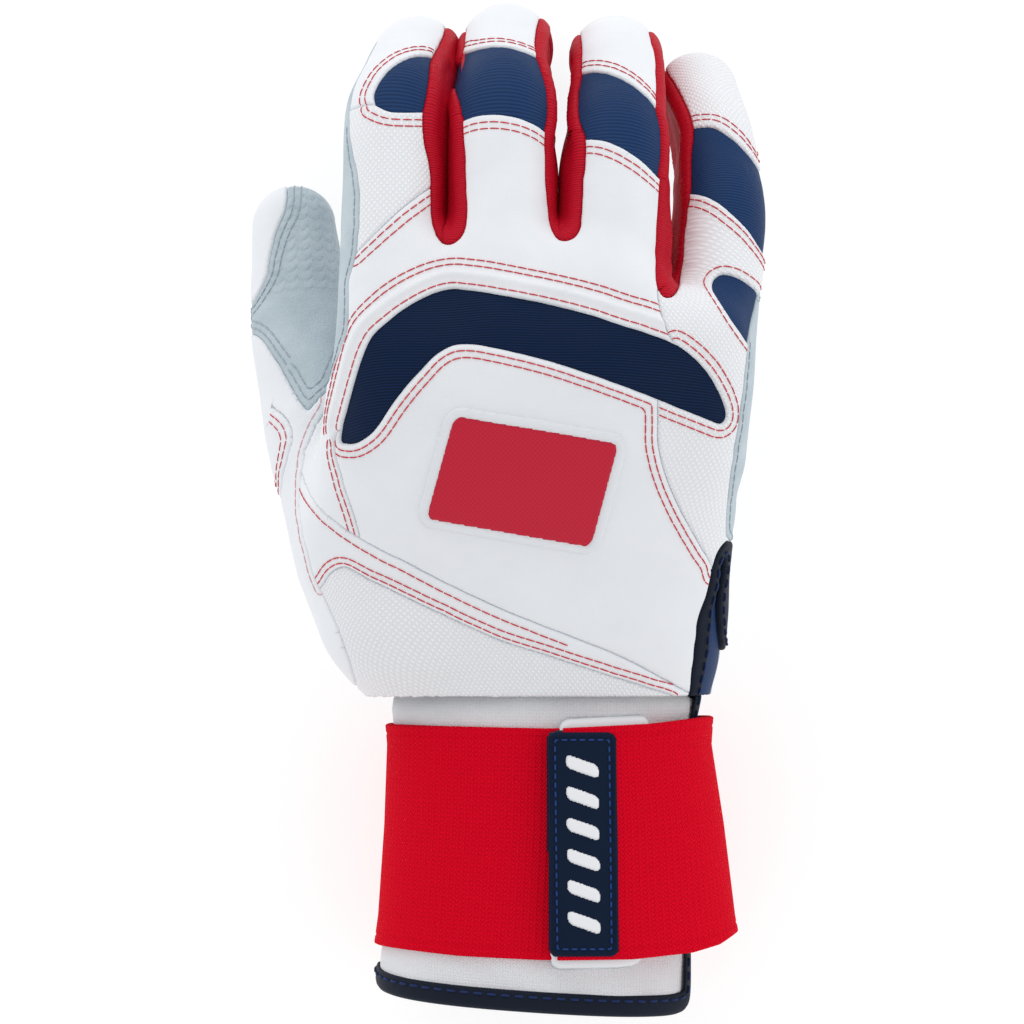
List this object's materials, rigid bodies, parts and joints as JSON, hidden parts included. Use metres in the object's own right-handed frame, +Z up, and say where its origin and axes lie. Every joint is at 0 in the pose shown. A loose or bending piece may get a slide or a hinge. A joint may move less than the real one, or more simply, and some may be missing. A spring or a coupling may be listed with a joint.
{
  "type": "batting glove",
  "caption": "Right-hand batting glove with leather palm, mesh and stretch back panels, and a wide elastic wrist strap with a hook-and-loop tab.",
  "frame": {"origin": "on the table under the middle of the glove as it lies palm down", "axes": "+Y from the wrist to the fingertips, +X from the thumb's side to the little finger's side, +Z up through the back of the hand"},
  "size_m": [0.1148, 0.228, 0.0766],
  "materials": {
    "leather": "satin",
    "back_fabric": "satin",
    "mesh": "matte",
    "navy_fabric": "matte",
    "binding": "matte",
    "red_fabric": "matte",
    "elastic": "matte",
    "knit": "matte",
    "pile": "matte",
    "badge_rubber": "satin"
  },
  "bodies": {
    "hand": {"back_panel": "back_fabric", "sweep_panel": "back_fabric", "heel_mesh_panel": "mesh", "ulnar_mesh_panel": "mesh", "thumb_side_panel": "back_fabric", "palm_leather": "leather", "badge": "badge_rubber", "slit_gusset": "navy_fabric", "slit_binding": "binding", "cuff": "knit", "cuff_binding": "binding", "strap_wrap": "elastic", "loop_pad": "pile", "knuckle_flex_band": "navy_fabric", "palm_crease": "leather", "thumb_root_crease": "leather"},
    "knuckles": {"bridge_panel": "back_fabric", "index_mesh_panel": "mesh", "little_mesh_panel": "mesh", "ulnar_flex_patch": "navy_fabric", "finger_palm_leather": "leather", "fourchette_index_middle": "red_fabric", "fourchette_middle_ring": "red_fabric", "fourchette_ring_little": "red_fabric", "index_flex_patch": "navy_fabric", "index_crease": "leather", "middle_flex_patch": "navy_fabric", "middle_crease": "leather", "ring_flex_patch": "navy_fabric", "ring_crease": "leather", "little_flex_patch": "navy_fabric", "little_crease": "leather"},
    "index_tip": {"index_tip_back": "back_fabric", "index_tip_leather": "leather", "index_tip_strip_right": "red_fabric"},
    "middle_tip": {"middle_tip_back": "back_fabric", "middle_tip_leather": "leather", "middle_tip_strip_left": "red_fabric", "middle_tip_strip_right": "red_fabric"},
    "ring_tip": {"ring_tip_back": "back_fabric", "ring_tip_leather": "leather", "ring_tip_strip_left": "red_fabric", "ring_tip_strip_right": "red_fabric"},
    "little_tip": {"little_tip_back": "back_fabric", "little_tip_leather": "leather", "little_tip_strip_left": "red_fabric"},
    "thumb_base": {"thumb_back": "leather", "thumb_leather": "leather", "thumb_joint_crease": "leather"},
    "thumb_tip": {"thumb_tip_back": "leather", "thumb_tip_leather": "leather"},
    "strap_flap": {"strap_mid": "elastic"},
    "strap_tongue": {"strap_end": "elastic", "strap_tab": "elastic", "hook_pad": "pile"}
  },
  "joints": [
    {"name": "knuckle_flex", "type": "hinge", "parent": "hand", "child": "knuckles", "pos_m": [0.008, 0.0356, 0.059], "axis": [-0.998, 0.055, 0.03], "range_deg": [-30, 30], "deforming": ["knuckle_flex_band", "palm_crease"]},
    {"name": "index_bend", "type": "hinge", "parent": "knuckles", "child": "index_tip", "pos_m": [-0.02568, 0.08886, 0.0452], "axis": [-0.9991, 0.043, 0], "range_deg": [-35, 42], "deforming": ["index_flex_patch", "index_crease"]},
    {"name": "middle_bend", "type": "hinge", "parent": "knuckles", "child": "middle_tip", "pos_m": [-0.00183, 0.08913, 0.04763], "axis": [-0.9998, 0.021, 0], "range_deg": [-35, 42], "deforming": ["middle_flex_patch", "middle_crease"]},
    {"name": "ring_bend", "type": "hinge", "parent": "knuckles", "child": "ring_tip", "pos_m": [0.02335, 0.08193, 0.04753], "axis": [-0.9998, 0.02, 0], "range_deg": [-35, 42], "deforming": ["ring_flex_patch", "ring_crease"]},
    {"name": "little_bend", "type": "hinge", "parent": "knuckles", "child": "little_tip", "pos_m": [0.04799, 0.06819, 0.03988], "axis": [-1, 0.006, 0], "range_deg": [-35, 42], "deforming": ["little_flex_patch", "little_crease"]},
    {"name": "thumb_swing", "type": "hinge", "parent": "hand", "child": "thumb_base", "pos_m": [-0.0419, 0.01651, 0.02398], "axis": [0, 0, 1], "range_deg": [0, 30], "deforming": ["thumb_root_crease"]},
    {"name": "thumb_bend", "type": "hinge", "parent": "thumb_base", "child": "thumb_tip", "pos_m": [-0.04671, 0.04127, 0.01557], "axis": [-0.9936, -0.113, 0], "range_deg": [-10, 50], "deforming": ["thumb_joint_crease"]},
    {"name": "strap_open", "type": "hinge", "parent": "hand", "child": "strap_flap", "pos_m": [0.05215, -0.07352, 0.02129], "axis": [-0.128, 0.9918, 0], "range_deg": [0, 100]},
    {"name": "strap_peel", "type": "hinge", "parent": "strap_flap", "child": "strap_tongue", "pos_m": [0.03873, -0.07416, 0.04785], "axis": [-0.077, 0.997, 0], "range_deg": [0, 140]}
  ]
}
